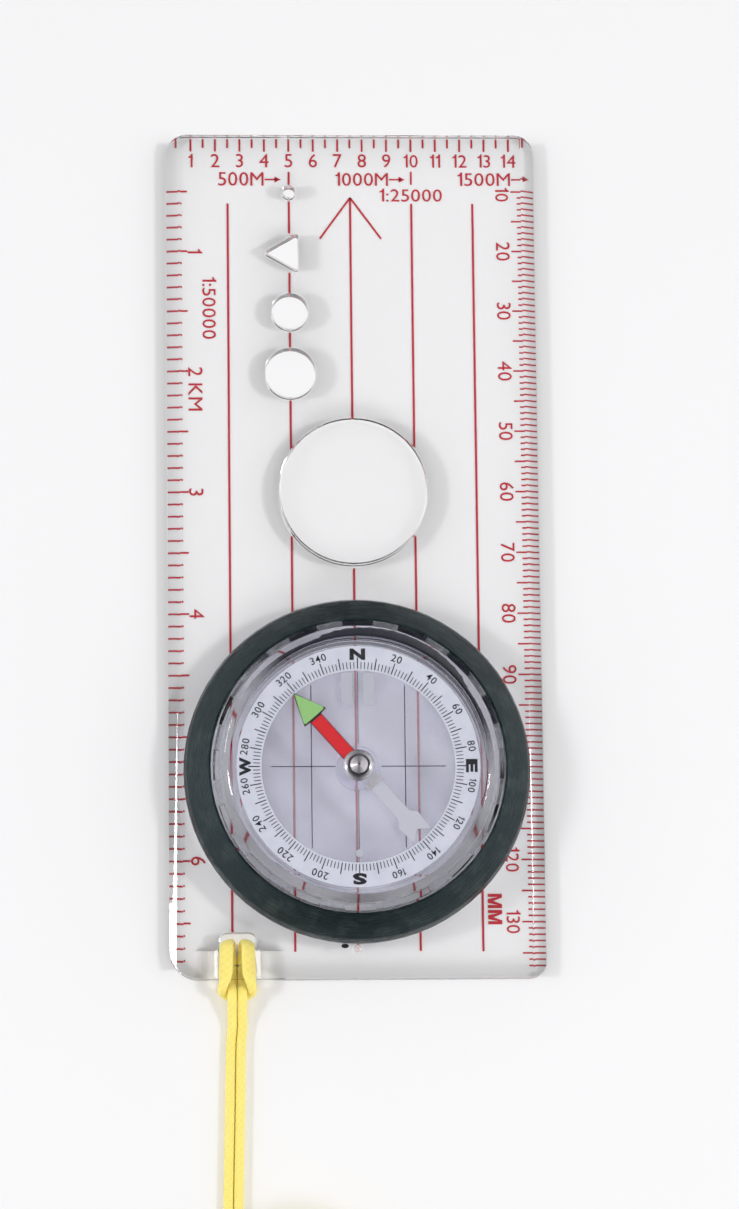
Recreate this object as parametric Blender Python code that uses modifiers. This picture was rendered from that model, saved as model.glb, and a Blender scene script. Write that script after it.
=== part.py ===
"""A baseplate compass: clear ruler plate, turning dial housing, magnetic needle and neck lanyard.

The plate lies flat with its underside at z = 0. +Y is the direction of travel and +X is the
millimetre-scale edge. The origin is under the middle of the plate. Sizes are in millimetres
and become metres as each shape is built.
"""

import math

import bmesh
import bpy
from mathutils import Matrix, Vector

MM = 0.001
COLLECTION = "baseplate_compass"

# Plate
PLATE_WIDTH = 60.0
PLATE_LENGTH = 138.2
PLATE_THICK = 3.0
PLATE_EDGE_ROUND = 0.22
CORNER_RADII = {"north_east": 3.2, "north_west": 3.2, "south_west": 4.8, "south_east": 2.6}
SCALE_ZERO_Y = 70.0
RULER_BEVEL_WIDTH = 2.2
RULER_BEVEL_DROP = 1.0
STENCIL_X = -10.0
PIN_HOLE_RADIUS = 1.0
PIN_HOLE_DOWN = 10.4
TRIANGLE_SIDE = 6.4
TRIANGLE_DOWN = 20.5
TRIANGLE_ROUND = 0.35
TRIANGLE_WEST = 0.45
SMALL_STENCIL_RADIUS = 2.95
SMALL_STENCIL_DOWN = 30.4
LARGE_STENCIL_RADIUS = 4.1
LARGE_STENCIL_DOWN = 40.6
LENS_HOLE_RADIUS = 12.0
LENS_DOWN = 60.2
SLOT_CENTRE = (-19.1, -63.15)
SLOT_SIZE = (5.7, 3.0)
SLOT_ROUND = 1.1
RELIEF_WIDTH = 14.4
RELIEF_DEPTH = 2.0
RELIEF_NORTH_Y = -64.4
RELIEF_CENTRE_X = -18.9

# Reading lens
LENS_RADIUS = 11.8
LENS_EDGE_BOTTOM = 0.35
LENS_EDGE_TOP = 2.7
LENS_CROWN = 3.7

# Clear pip at the bezel's south edge
PIP_RADIUS = 0.7
PIP_HEIGHT = 0.3
PIP_CENTRE = (-0.1, -64.45)

# Dial housing, all turned about one axis
DIAL_CENTRE = (0.0, -36.0)
BEZEL_RADIUS = 27.7
BEZEL_BORE = 23.45
BEZEL_BOTTOM = 3.4
BEZEL_SHOULDER = 6.0
BEZEL_TOP = 9.4
BEZEL_SHELF = 5.55
BEZEL_SNAP_LOW = 3.95
BEZEL_SNAP_HIGH = 4.2
RUNNING_GAP = 0.3
REST_GAP = 0.05
SNAP_RING_INNER = 24.2
SNAP_RING_NECK = 25.0
SNAP_RING_LIP = 25.75
SNAP_LIP_LOW = 4.3
SNAP_LIP_FULL = 4.55
SNAP_LIP_HIGH = 5.0
SNAP_RING_TOP = 5.2
CUP_RADIUS = 23.15
CUP_BOTTOM = 3.6
CUP_FLOOR_TOP = 4.6
CUP_LEDGE_TOP = 7.4
CUP_TOP = 11.4
CUP_WALL_INNER = 20.5
CUP_LEDGE_INNER = 19.6
CUP_FLOOR_FILLET = 0.5
CUP_FOOT_CHAMFER = 0.4
CUP_RIM_CHAMFER = 0.12
NOTCH_COUNT = 16
NOTCH_DEPTH = 0.95
NOTCH_BOTTOM = 9.9
TAB_ANGLE = 10.4
COVER_RADIUS = 22.15
COVER_BOTTOM = 11.47
COVER_TOP = 12.9
COVER_CROWN_RADIUS = 20.6
COVER_BEVEL_RADIUS = 20.8
COVER_BEVEL_FOOT = 11.9
DISC_RADIUS = 20.3
DISC_BOTTOM = 7.5
DISC_TOP = 8.35
SCALE_RING_INNER = 15.4
SCALE_RING_OUTER = 19.35
SCALE_RING_Z = (8.42, 8.6)
GLOW_Z = (8.42, 8.52)
GLOW_BAR_WIDTH = 1.8
GLOW_BAR_GAP = 1.7
GLOW_BAR_SPAN = (9.8, 15.0)
GLOW_DOT_RADIUS = 0.6
GLOW_DOT_OUT = 13.9
GLOW_BAR_ROUND = 0.3
PLUG_OUT = 17.4
PLUG_AZIMUTH = 230.0
PLUG_RADIUS = 0.85
BOSS_RADIUS = 3.5
BOSS_CHAMFER = 0.5
PIN_RADIUS = 0.35
PIN_TIP_Z = 10.1
PIN_TIP_RADIUS = 0.06
PIN_TAPER = 0.7

# Needle
NEEDLE_BEARING = 41.5
BLADE_Z = (9.3, 9.5)
BLADE_HALF_WIDTH = 1.15
BLADE_HOLE_RADIUS = 1.55
BLADE_EYE_RADIUS = 2.2
BLADE_TIP_OUT = 15.6
ARROW_BASE_OUT = 10.2
ARROW_HALF_WIDTH = 2.3
TAIL_FLARE_OUT = 11.7
TAIL_HALF_WIDTH = 2.05
TAIL_POINT_OUT = 15.0
TAIL_POINT_HALF_WIDTH = 1.75
TAIL_NOTCH_OUT = 13.6
GLOW_TIP_Z = (9.55, 9.66)
GLOW_TIP_INSET = (0.1, 0.15, 0.35)
GLOW_TIP_ROUND = 0.3
HUB_FLANGE = 2.3
HUB_BORE = 0.75
HUB_Z = (8.95, 9.25, 10.3)
CLIP_OUT = 3.55
CLIP_LENGTH = 1.0
CLIP_WALL = 0.28
CLIP_GAP = 0.07
CLIP_FOLD_INNER = 0.55

# Turned needle parts, each as (radius, height) from the top down its outer side
COLLAR_PROFILE = [(1.75, 10.15), (2.2, 10.0), (2.5, 9.75), (2.5, 9.55), (1.5, 9.55), (1.5, 10.15)]
JEWEL_PROFILE = [(0.0, 10.32), (0.68, 10.32), (0.68, 9.7), (0.45, 9.7), (0.12, 10.15), (0.0, 10.15)]
CAP_PROFILE = [
    (0.0, 11.2),
    (0.2, 11.17),
    (0.45, 10.98),
    (1.25, 10.62),
    (1.42, 10.5),
    (1.42, 10.36),
    (0.0, 10.36),
]

# Lanyard
CORD_RADIUS = 0.75
CORD_SPACING = 1.6
CORD_FLOOR_Z = 0.8
COIL_CENTRE = (-9.7, -119.0)
COIL_INNER = 5.5
COIL_OUTER = 12.1
COIL_HEIGHT = 4.6
COIL_ROUND = 1.1
KNOT_RADII = (2.7, 1.9, 1.5)
KNOT_LIFT = 0.1
WEST_TAIL_END_Y = -112.4
EAST_TAIL_END_Y = -110.3
# Half of the hitch, seen from its own middle line: (outward, y, z) from under the bar,
# up through the slot, over the bar and down to the bight.
HITCH_MIDDLE_X = -19.3
HITCH_HALF = [
    (0.80, -66.6, 0.80),
    (0.85, -65.4, 0.80),
    (1.10, -64.2, 1.05),
    (1.45, -63.5, 1.90),
    (1.65, -63.4, 2.90),
    (1.70, -63.9, 3.75),
    (1.75, -64.9, 4.05),
    (1.80, -67.0, 4.05),
    (1.95, -68.8, 4.00),
    (2.20, -69.9, 3.50),
    (2.38, -70.6, 2.60),
    (2.35, -71.0, 1.70),
    (1.80, -71.4, 0.95),
    (0.90, -71.7, 0.82),
]
# Each tail: (y, height) from under the bar, over the bight and along the ground to the coil.
TAIL_RISE = [(-66.95, 0.80), (-68.2, 0.80), (-69.3, 0.95), (-70.2, 1.60), (-70.9, 2.30), (-71.6, 2.60)]
TAIL_FALL = [(-72.6, 2.40), (-74.4, 1.40), (-76.6, 0.80)]
TAIL_GROUND = [(-80.0, -19.55), (-90.0, -19.75), (-98.0, -19.95), (-105.0, -20.1), (-109.0, -20.1)]

ROUND_STEPS = 72
SMALL_STEPS = 28
EYE_STEPS = 12


def start_empty():
    """Remove every object, then make one collection for the parts and one for the cutters."""
    for item in list(bpy.data.objects):
        bpy.data.objects.remove(item, do_unlink=True)
    groups = []
    for name in (COLLECTION, "cutters"):
        group = bpy.data.collections.new(name)
        bpy.context.scene.collection.children.link(group)
        groups.append(group)
    return groups


PARTS, CUTTERS = start_empty()


def material(name, colour, roughness, metallic=0.0, transmission=0.0):
    """One Principled material."""
    made = bpy.data.materials.new(name)
    made.use_nodes = True
    shader = made.node_tree.nodes["Principled BSDF"]
    shader.inputs["Base Color"].default_value = (*colour, 1.0)
    shader.inputs["Roughness"].default_value = roughness
    shader.inputs["Metallic"].default_value = metallic
    shader.inputs["Transmission Weight"].default_value = transmission
    made.diffuse_color = (*colour, 1.0)
    return made


CLEAR_ACRYLIC = material("clear_acrylic", (0.93, 0.95, 0.96), 0.04, transmission=1.0)
CLEAR_CAPSULE = material("clear_capsule", (0.90, 0.91, 0.95), 0.03, transmission=1.0)
DARK_PLASTIC = material("dark_plastic", (0.02, 0.03, 0.035), 0.42)
WHITE_SCALE = material("white_scale", (0.82, 0.84, 0.88), 0.5)
PALE_GLOW = material("pale_glow", (0.70, 0.76, 0.70), 0.6)
GREEN_GLOW = material("green_glow", (0.32, 0.68, 0.24), 0.6)
RED_PAINT = material("red_paint", (0.80, 0.04, 0.05), 0.4)
STEEL = material("bright_steel", (0.70, 0.70, 0.72), 0.18, metallic=1.0)
DARK_METAL = material("dark_metal", (0.12, 0.12, 0.13), 0.35, metallic=1.0)
JEWEL = material("synthetic_jewel", (0.55, 0.04, 0.10), 0.05)
GREY_RUBBER = material("grey_plug", (0.25, 0.26, 0.28), 0.7)
YELLOW_CORD = material("yellow_cord", (0.86, 0.64, 0.06), 0.85)


def add_object(name, data, look, parent=None, group=None):
    """Link a new object to its collection, its look and its parent."""
    item = bpy.data.objects.new(name, data)
    (group or PARTS).objects.link(item)
    if look is not None:
        data.materials.append(look)
    item.parent = parent
    return item


def axis_empty(name, centre, turn=0.0):
    """An empty standing on a joint's axis."""
    item = add_object(name, None, None)
    item.location = (centre[0] * MM, centre[1] * MM, 0.0)
    item.rotation_euler = (0.0, 0.0, math.radians(turn))
    return item


def fillet(points, radii, steps=3):
    """Replace each corner that has a radius by an arc that is tangent to both of its sides."""
    result = []
    count = len(points)
    for index, corner in enumerate(points):
        radius = radii[index] if isinstance(radii, (list, tuple)) else radii
        if radius <= 0.0:
            result.append(corner)
            continue
        here = Vector(corner)
        before = (Vector(points[index - 1]) - here).normalized()
        after = (Vector(points[(index + 1) % count]) - here).normalized()
        half = before.angle(after) / 2.0
        reach = radius / math.tan(half)
        centre = here + (before + after).normalized() * (radius / math.sin(half))
        first = here + before * reach - centre
        last = here + after * reach - centre
        sweep = first.angle_signed(last)
        for step in range(steps + 1):
            turned_by = Matrix.Rotation(-sweep * step / steps, 2)
            result.append(tuple(centre + turned_by @ first))
    return result


def turned(name, profile, look, parent=None, closed=False, steps=ROUND_STEPS, centre=(0.0, 0.0)):
    """A shape turned about Z: the profile of (radius, height) runs down its outer side."""
    corners = [(radius * MM, 0.0, height * MM) for radius, height in profile]
    edges = [(index, index + 1) for index in range(len(corners) - 1)]
    if closed:
        edges.append((len(corners) - 1, 0))
    mesh = bpy.data.meshes.new(name)
    mesh.from_pydata(corners, edges, [])
    item = add_object(name, mesh, look, parent)
    item.location = (centre[0] * MM, centre[1] * MM, 0.0)
    screw = item.modifiers.new("turn", "SCREW")
    screw.axis = "Z"
    screw.angle = math.tau
    screw.steps = steps
    screw.render_steps = steps
    screw.use_merge_vertices = True
    screw.merge_threshold = 0.000002
    screw.use_smooth_shade = True
    return item


def circle(centre, radius, steps):
    """Points round a circle."""
    points = []
    for step in range(steps):
        angle = math.tau * step / steps
        points.append((centre[0] + radius * math.cos(angle), centre[1] + radius * math.sin(angle)))
    return points


def outline_curve(name, loops, low, high, look, parent=None, edge_round=0.0):
    """A flat shape with holes, cut from sheet between two heights, its edges slightly rounded."""
    data = bpy.data.curves.new(name, "CURVE")
    data.dimensions = "2D"
    data.fill_mode = "BOTH"
    data.extrude = ((high - low) / 2.0 - edge_round) * MM
    data.bevel_depth = edge_round * MM
    data.bevel_resolution = 1 if edge_round else 0
    data.offset = -edge_round * MM
    for loop in loops:
        spline = data.splines.new("POLY")
        spline.points.add(len(loop) - 1)
        for point, (across, along) in zip(spline.points, loop):
            point.co = (across * MM, along * MM, 0.0, 1.0)
        spline.use_cyclic_u = True
    item = add_object(name, data, look, parent)
    item.location.z = (low + high) / 2.0 * MM
    return item


def as_mesh(item):
    """Turn a curve object into a welded mesh object of the same name, look and place."""
    bpy.context.view_layer.update()
    graph = bpy.context.evaluated_depsgraph_get()
    mesh = bpy.data.meshes.new_from_object(item.evaluated_get(graph))
    weld(mesh)
    name, parent, place = item.name, item.parent, item.matrix_world.copy()
    bpy.data.objects.remove(item, do_unlink=True)
    made = add_object(name, mesh, None, parent)
    made.matrix_world = place
    mesh.name = name
    return made


def weld(mesh):
    """Join the points that a curve leaves doubled along its caps."""
    work = bmesh.new()
    work.from_mesh(mesh)
    bmesh.ops.remove_doubles(work, verts=work.verts, dist=0.000001)
    bmesh.ops.recalc_face_normals(work, faces=work.faces)
    work.to_mesh(mesh)
    work.free()


def cutter(name, mesh, parent=None):
    """A hidden shape that only cuts."""
    item = add_object(name, mesh, None, parent, CUTTERS)
    item.hide_render = True
    item.display_type = "WIRE"
    return item


def box_into(work, size, matrix):
    """Add a box of a size in millimetres to a bmesh, placed by a matrix in metres."""
    scale = Matrix.Diagonal((size[0] * MM, size[1] * MM, size[2] * MM, 1.0))
    bmesh.ops.create_cube(work, size=1.0, matrix=matrix @ scale)


def finished(work, name):
    """Close a bmesh into a mesh."""
    mesh = bpy.data.meshes.new(name)
    work.to_mesh(mesh)
    work.free()
    return mesh


def cut(item, tool):
    """Cut one shape from another."""
    modifier = item.modifiers.new(tool.name, "BOOLEAN")
    modifier.operation = "DIFFERENCE"
    modifier.solver = "EXACT"
    modifier.object = tool


def plate_outline():
    """The plate's outer edge, with its four corner radii."""
    half_x, half_y = PLATE_WIDTH / 2.0, PLATE_LENGTH / 2.0
    corners = [(half_x, half_y), (-half_x, half_y), (-half_x, -half_y), (half_x, -half_y)]
    names = ("north_east", "north_west", "south_west", "south_east")
    return fillet(corners, [CORNER_RADII[name] for name in names], steps=7)


def triangle_hole():
    """An equilateral triangle that points west."""
    reach = TRIANGLE_SIDE / math.sqrt(3.0)
    middle = (STENCIL_X - TRIANGLE_WEST, SCALE_ZERO_Y - TRIANGLE_DOWN)
    corners = []
    for angle in (180.0, 300.0, 60.0):
        turn = math.radians(angle)
        corners.append((middle[0] + reach * math.cos(turn), middle[1] + reach * math.sin(turn)))
    return fillet(corners, TRIANGLE_ROUND, steps=3)


def slot_hole():
    """The lanyard slot, a rounded rectangle."""
    (x, y), (width, height) = SLOT_CENTRE, SLOT_SIZE
    corners = []
    for side_x, side_y in ((1, 1), (-1, 1), (-1, -1), (1, -1)):
        corners.append((x + side_x * width / 2.0, y + side_y * height / 2.0))
    return fillet(corners, SLOT_ROUND, steps=4)


def ruler_bevel_cutter(side):
    """A wedge along one long edge: it takes the plate's top down towards the scale's edge."""
    inner = PLATE_WIDTH / 2.0 - RULER_BEVEL_WIDTH
    slope = math.atan2(RULER_BEVEL_DROP, RULER_BEVEL_WIDTH)
    work = bmesh.new()
    hinge = Matrix.Translation((side * inner * MM, 0.0, PLATE_THICK * MM))
    tilt = Matrix.Rotation(side * slope, 4, "Y")
    lift = Matrix.Translation((side * 2.0 * MM, 0.0, 1.0 * MM))
    box_into(work, (4.0, PLATE_LENGTH + 6.0, 2.0), hinge @ tilt @ lift)
    name = "ruler_bevel_east" if side > 0 else "ruler_bevel_west"
    return cutter(name, finished(work, name))


def relief_cutter():
    """A lying cylinder whose top arches over the cord under the lanyard bar."""
    half = RELIEF_WIDTH / 2.0
    radius = (half * half + RELIEF_DEPTH * RELIEF_DEPTH) / (2.0 * RELIEF_DEPTH)
    south = -PLATE_LENGTH / 2.0 - 3.0
    length = RELIEF_NORTH_Y - south
    place = Matrix.Translation(
        (RELIEF_CENTRE_X * MM, (RELIEF_NORTH_Y - length / 2.0) * MM, (RELIEF_DEPTH - radius) * MM)
    )
    work = bmesh.new()
    bmesh.ops.create_cone(
        work,
        cap_ends=True,
        segments=80,
        radius1=radius * MM,
        radius2=radius * MM,
        depth=length * MM,
        matrix=place @ Matrix.Rotation(math.pi / 2.0, 4, "X"),
    )
    return cutter("lanyard_relief", finished(work, "lanyard_relief"))


def make_baseplate():
    """The clear plate with its stencils, lens hole, lanyard slot, ruler bevels and cord relief."""
    loops = [plate_outline(), triangle_hole(), slot_hole()]
    holes = (
        (PIN_HOLE_DOWN, PIN_HOLE_RADIUS, 20),
        (SMALL_STENCIL_DOWN, SMALL_STENCIL_RADIUS, 36),
        (LARGE_STENCIL_DOWN, LARGE_STENCIL_RADIUS, 40),
    )
    for down, radius, steps in holes:
        loops.append(circle((STENCIL_X, SCALE_ZERO_Y - down), radius, steps))
    loops.append(circle((0.0, SCALE_ZERO_Y - LENS_DOWN), LENS_HOLE_RADIUS, 64))
    plate = outline_curve(
        "baseplate", loops, 0.0, PLATE_THICK, CLEAR_ACRYLIC, edge_round=PLATE_EDGE_ROUND
    )
    plate = as_mesh(plate)
    for side in (1, -1):
        cut(plate, ruler_bevel_cutter(side))
    cut(plate, relief_cutter())


def dome_profile(radius, bottom, edge, crown, steps=6):
    """A disc with a spherical top: its crown over the axis, then down its edge to a flat base."""
    rise = crown - edge
    sphere = (radius * radius + rise * rise) / (2.0 * rise)
    widest = math.asin(radius / sphere)
    profile = []
    for step in range(steps + 1):
        angle = widest * step / steps
        profile.append((sphere * math.sin(angle), crown - sphere * (1.0 - math.cos(angle))))
    return profile + [(radius, bottom), (0.0, bottom)]


def make_plate_fittings():
    """The lens in its hole, the snap ring that holds the bezel, and the reading pip."""
    lens = dome_profile(LENS_RADIUS, LENS_EDGE_BOTTOM, LENS_EDGE_TOP, LENS_CROWN)
    lens_centre = (0.0, SCALE_ZERO_Y - LENS_DOWN)
    turned("magnifier_lens", lens, CLEAR_ACRYLIC, steps=56, centre=lens_centre)
    low = PLATE_THICK + REST_GAP
    snap = [
        (SNAP_RING_LIP, SNAP_LIP_HIGH),
        (SNAP_RING_LIP, SNAP_LIP_FULL),
        (SNAP_RING_NECK, SNAP_LIP_LOW),
        (SNAP_RING_NECK, low),
        (SNAP_RING_INNER, low),
        (SNAP_RING_INNER, SNAP_RING_TOP),
        (SNAP_RING_LIP - RUNNING_GAP, SNAP_RING_TOP),
    ]
    turned("snap_ring", snap, CLEAR_ACRYLIC, closed=True, steps=64, centre=DIAL_CENTRE)
    pip = dome_profile(PIP_RADIUS, low, low + PIP_HEIGHT / 3.0, low + PIP_HEIGHT, steps=4)
    turned("reading_pip", pip, CLEAR_ACRYLIC, steps=20, centre=PIP_CENTRE)


def make_bezel(parent):
    """The dark ring that is gripped: a short skirt, a broad cone and a snap lip underneath."""
    corners = [
        (BEZEL_BORE + 0.35, BEZEL_TOP, 0.15),
        (BEZEL_RADIUS - 0.45, BEZEL_SHOULDER, 0.5),
        (BEZEL_RADIUS, BEZEL_BOTTOM + 0.9, 0.2),
        (BEZEL_RADIUS, BEZEL_BOTTOM, 0.2),
        (SNAP_RING_NECK + RUNNING_GAP, BEZEL_BOTTOM, 0.0),
        (SNAP_RING_NECK + RUNNING_GAP, BEZEL_SNAP_LOW, 0.0),
        (SNAP_RING_LIP + RUNNING_GAP, BEZEL_SNAP_HIGH, 0.0),
        (SNAP_RING_LIP + RUNNING_GAP, BEZEL_SHELF, 0.0),
        (BEZEL_BORE, BEZEL_SHELF, 0.0),
        (BEZEL_BORE, BEZEL_TOP - 0.1, 0.0),
    ]
    points = [(radius, height) for radius, height, _ in corners]
    profile = fillet(points, [rounding for _, _, rounding in corners], steps=2)
    turned("bezel_ring", profile, DARK_PLASTIC, parent, closed=True)


def notch_cutter(parent):
    """The gaps between the tabs round the cup's rim."""
    work = bmesh.new()
    pitch = 360.0 / NOTCH_COUNT
    radius = (CUP_RADIUS - NOTCH_DEPTH + 1.5) * MM
    width = 2.0 * CUP_RADIUS * math.tan(math.radians(pitch - TAB_ANGLE) / 2.0)
    height = CUP_TOP - NOTCH_BOTTOM + 1.0
    for index in range(NOTCH_COUNT):
        turn = Matrix.Rotation(math.radians(pitch * index), 4, "Z")
        out = Matrix.Translation((radius, 0.0, (NOTCH_BOTTOM + height / 2.0) * MM))
        box_into(work, (3.0, width, height), turn @ out)
    return cutter("cup_notches", finished(work, "cup_notches"), parent)


def filler_cutter(parent, place):
    """The filling hole through the cup's floor."""
    work = bmesh.new()
    bmesh.ops.create_cone(
        work,
        cap_ends=True,
        segments=SMALL_STEPS,
        radius1=(PLUG_RADIUS + 0.1) * MM,
        radius2=(PLUG_RADIUS + 0.1) * MM,
        depth=3.0 * MM,
        matrix=Matrix.Translation((place[0] * MM, place[1] * MM, CUP_FLOOR_TOP * MM)),
    )
    return cutter("filling_hole", finished(work, "filling_hole"), parent)


def make_capsule(parent):
    """The clear cup with its tabs, the clear cover and the plug of the filling hole."""
    cup = [
        (0.0, CUP_FLOOR_TOP),
        (CUP_LEDGE_INNER - CUP_FLOOR_FILLET, CUP_FLOOR_TOP),
        (CUP_LEDGE_INNER, CUP_FLOOR_TOP + CUP_FLOOR_FILLET),
        (CUP_LEDGE_INNER, CUP_LEDGE_TOP),
        (CUP_WALL_INNER, CUP_LEDGE_TOP),
        (CUP_WALL_INNER, CUP_TOP),
        (CUP_RADIUS - CUP_RIM_CHAMFER, CUP_TOP),
        (CUP_RADIUS, CUP_TOP - CUP_RIM_CHAMFER),
        (CUP_RADIUS, CUP_BOTTOM + CUP_FOOT_CHAMFER),
        (CUP_RADIUS - CUP_FOOT_CHAMFER, CUP_BOTTOM),
        (0.0, CUP_BOTTOM),
    ]
    item = turned("capsule_cup", cup, CLEAR_CAPSULE, parent)
    cut(item, notch_cutter(parent))
    angle = math.radians(PLUG_AZIMUTH)
    place = (PLUG_OUT * math.cos(angle), PLUG_OUT * math.sin(angle))
    cut(item, filler_cutter(parent, place))
    plug = [
        (0.0, CUP_FLOOR_TOP - 0.08),
        (PLUG_RADIUS - 0.1, CUP_FLOOR_TOP - 0.08),
        (PLUG_RADIUS, CUP_FLOOR_TOP - 0.2),
        (PLUG_RADIUS, CUP_BOTTOM + REST_GAP),
        (0.0, CUP_BOTTOM + REST_GAP),
    ]
    turned("filler_plug", plug, GREY_RUBBER, parent, steps=SMALL_STEPS, centre=place)
    cover = [
        (0.0, COVER_TOP),
        (COVER_CROWN_RADIUS, COVER_TOP),
        (COVER_BEVEL_RADIUS, COVER_TOP - 0.05),
        (COVER_RADIUS - 0.1, COVER_BEVEL_FOOT),
        (COVER_RADIUS, COVER_BEVEL_FOOT - 0.15),
        (COVER_RADIUS, COVER_BOTTOM),
        (0.0, COVER_BOTTOM),
    ]
    turned("capsule_cover", cover, CLEAR_CAPSULE, parent)


def ring_profile(inner, outer, low, high):
    """A flat washer's section, its outer side running down."""
    return [(outer, high), (outer, low), (inner, low), (inner, high)]


def make_dial(parent):
    """The clear disc in the cup, its white scale ring and the three luminous marks."""
    disc = ring_profile(PIN_RADIUS + 0.3, DISC_RADIUS, DISC_BOTTOM, DISC_TOP)
    turned("dial_disc", disc, CLEAR_CAPSULE, parent, closed=True, steps=56)
    ring = ring_profile(SCALE_RING_INNER, SCALE_RING_OUTER, *SCALE_RING_Z)
    turned("scale_ring", ring, WHITE_SCALE, parent, closed=True)
    near, far = GLOW_BAR_SPAN
    half = GLOW_BAR_WIDTH / 2.0
    for side, name in ((-1, "glow_bar_west"), (1, "glow_bar_east")):
        middle = side * (GLOW_BAR_GAP / 2.0 + half)
        corners = [(middle - half, near), (middle + half, near), (middle + half, far), (middle - half, far)]
        outline_curve(name, [fillet(corners, GLOW_BAR_ROUND)], *GLOW_Z, PALE_GLOW, parent)
    dot = circle((0.0, -GLOW_DOT_OUT), GLOW_DOT_RADIUS, 20)
    outline_curve("glow_dot", [dot], *GLOW_Z, PALE_GLOW, parent)


def make_pivot(parent):
    """The clear boss on the cup's floor and the steel point that stands in it."""
    bore = PIN_RADIUS + 0.06
    foot, head = CUP_FLOOR_TOP + REST_GAP, DISC_BOTTOM - 0.1
    boss = [
        (BOSS_RADIUS - BOSS_CHAMFER, head),
        (BOSS_RADIUS, head - BOSS_CHAMFER),
        (BOSS_RADIUS, foot),
        (bore, foot),
        (bore, head),
    ]
    turned("pivot_boss", boss, CLEAR_CAPSULE, parent, closed=True, steps=SMALL_STEPS)
    pin = [
        (0.0, PIN_TIP_Z),
        (PIN_TIP_RADIUS, PIN_TIP_Z - PIN_TIP_RADIUS / 2.0),
        (PIN_RADIUS, PIN_TIP_Z - PIN_TAPER),
        (PIN_RADIUS, foot),
        (0.0, foot),
    ]
    turned("pivot_pin", pin, STEEL, parent, steps=16)


def blade_outline():
    """The steel blade: an arrowhead to the north, a round eye at the hub and a swallow tail to the south."""
    meet = math.acos(BLADE_HALF_WIDTH / BLADE_EYE_RADIUS)
    turns = [meet - 2.0 * meet * step / EYE_STEPS for step in range(EYE_STEPS + 1)]
    eye = [(BLADE_EYE_RADIUS * math.cos(turn), BLADE_EYE_RADIUS * math.sin(turn)) for turn in turns]
    east = [
        (0.0, BLADE_TIP_OUT),
        (ARROW_HALF_WIDTH, ARROW_BASE_OUT + 0.1),
        (BLADE_HALF_WIDTH, ARROW_BASE_OUT),
        *eye,
        (BLADE_HALF_WIDTH, 1.0 - TAIL_FLARE_OUT),
        (TAIL_HALF_WIDTH, -TAIL_FLARE_OUT),
        (TAIL_POINT_HALF_WIDTH, -TAIL_POINT_OUT),
        (0.0, -TAIL_NOTCH_OUT),
    ]
    west = [(-x, y) for x, y in east[-2:0:-1]]
    return east + west


def make_needle(parent):
    """The blade, its luminous tip, the hub parts above and below it and the balance clip."""
    waist = circle((0.0, 0.0), BLADE_HOLE_RADIUS, SMALL_STEPS)
    as_mesh(outline_curve("needle_blade", [blade_outline(), waist], *BLADE_Z, RED_PAINT, parent))
    side, base, point = GLOW_TIP_INSET
    wing = (ARROW_HALF_WIDTH - side, ARROW_BASE_OUT + 0.1 + base)
    corners = [(0.0, BLADE_TIP_OUT - point), (-wing[0], wing[1]), wing]
    arrow = fillet(corners, [0.0, GLOW_TIP_ROUND, GLOW_TIP_ROUND])
    outline_curve("glow_tip", [arrow], *GLOW_TIP_Z, GREEN_GLOW, parent)
    neck = BLADE_HOLE_RADIUS - 0.1
    low, seat, high = HUB_Z
    hub = [(neck, high), (neck, seat), (HUB_FLANGE, seat), (HUB_FLANGE, low), (HUB_BORE, low), (HUB_BORE, high)]
    turned("needle_hub", hub, STEEL, parent, closed=True, steps=SMALL_STEPS)
    turned("hub_collar", COLLAR_PROFILE, STEEL, parent, closed=True, steps=SMALL_STEPS)
    turned("jewel_bearing", JEWEL_PROFILE, JEWEL, parent, steps=16)
    turned("hub_cap", CAP_PROFILE, STEEL, parent, steps=SMALL_STEPS)
    make_balance_clip(parent)


def make_balance_clip(parent):
    """A folded metal strip that hugs the blade's south arm and levels the needle."""
    low, high = BLADE_Z[0] - CLIP_GAP, BLADE_Z[1] + CLIP_GAP
    inner = BLADE_HALF_WIDTH + CLIP_GAP
    outer = inner + CLIP_WALL
    bottom, top = low - CLIP_WALL + 0.05, high + CLIP_WALL
    section = [
        (outer, top),
        (-outer, top),
        (-outer, bottom),
        (-CLIP_FOLD_INNER, bottom),
        (-CLIP_FOLD_INNER, low),
        (-inner, low),
        (-inner, high),
        (inner, high),
        (inner, low),
        (CLIP_FOLD_INNER, low),
        (CLIP_FOLD_INNER, bottom),
        (outer, bottom),
    ]
    half = CLIP_LENGTH / 2.0
    clip = outline_curve("balance_clip", [section], -half, half, DARK_METAL, parent)
    clip.rotation_euler = (math.radians(90.0), 0.0, 0.0)
    clip.location = (0.0, -CLIP_OUT * MM, 0.0)


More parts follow.
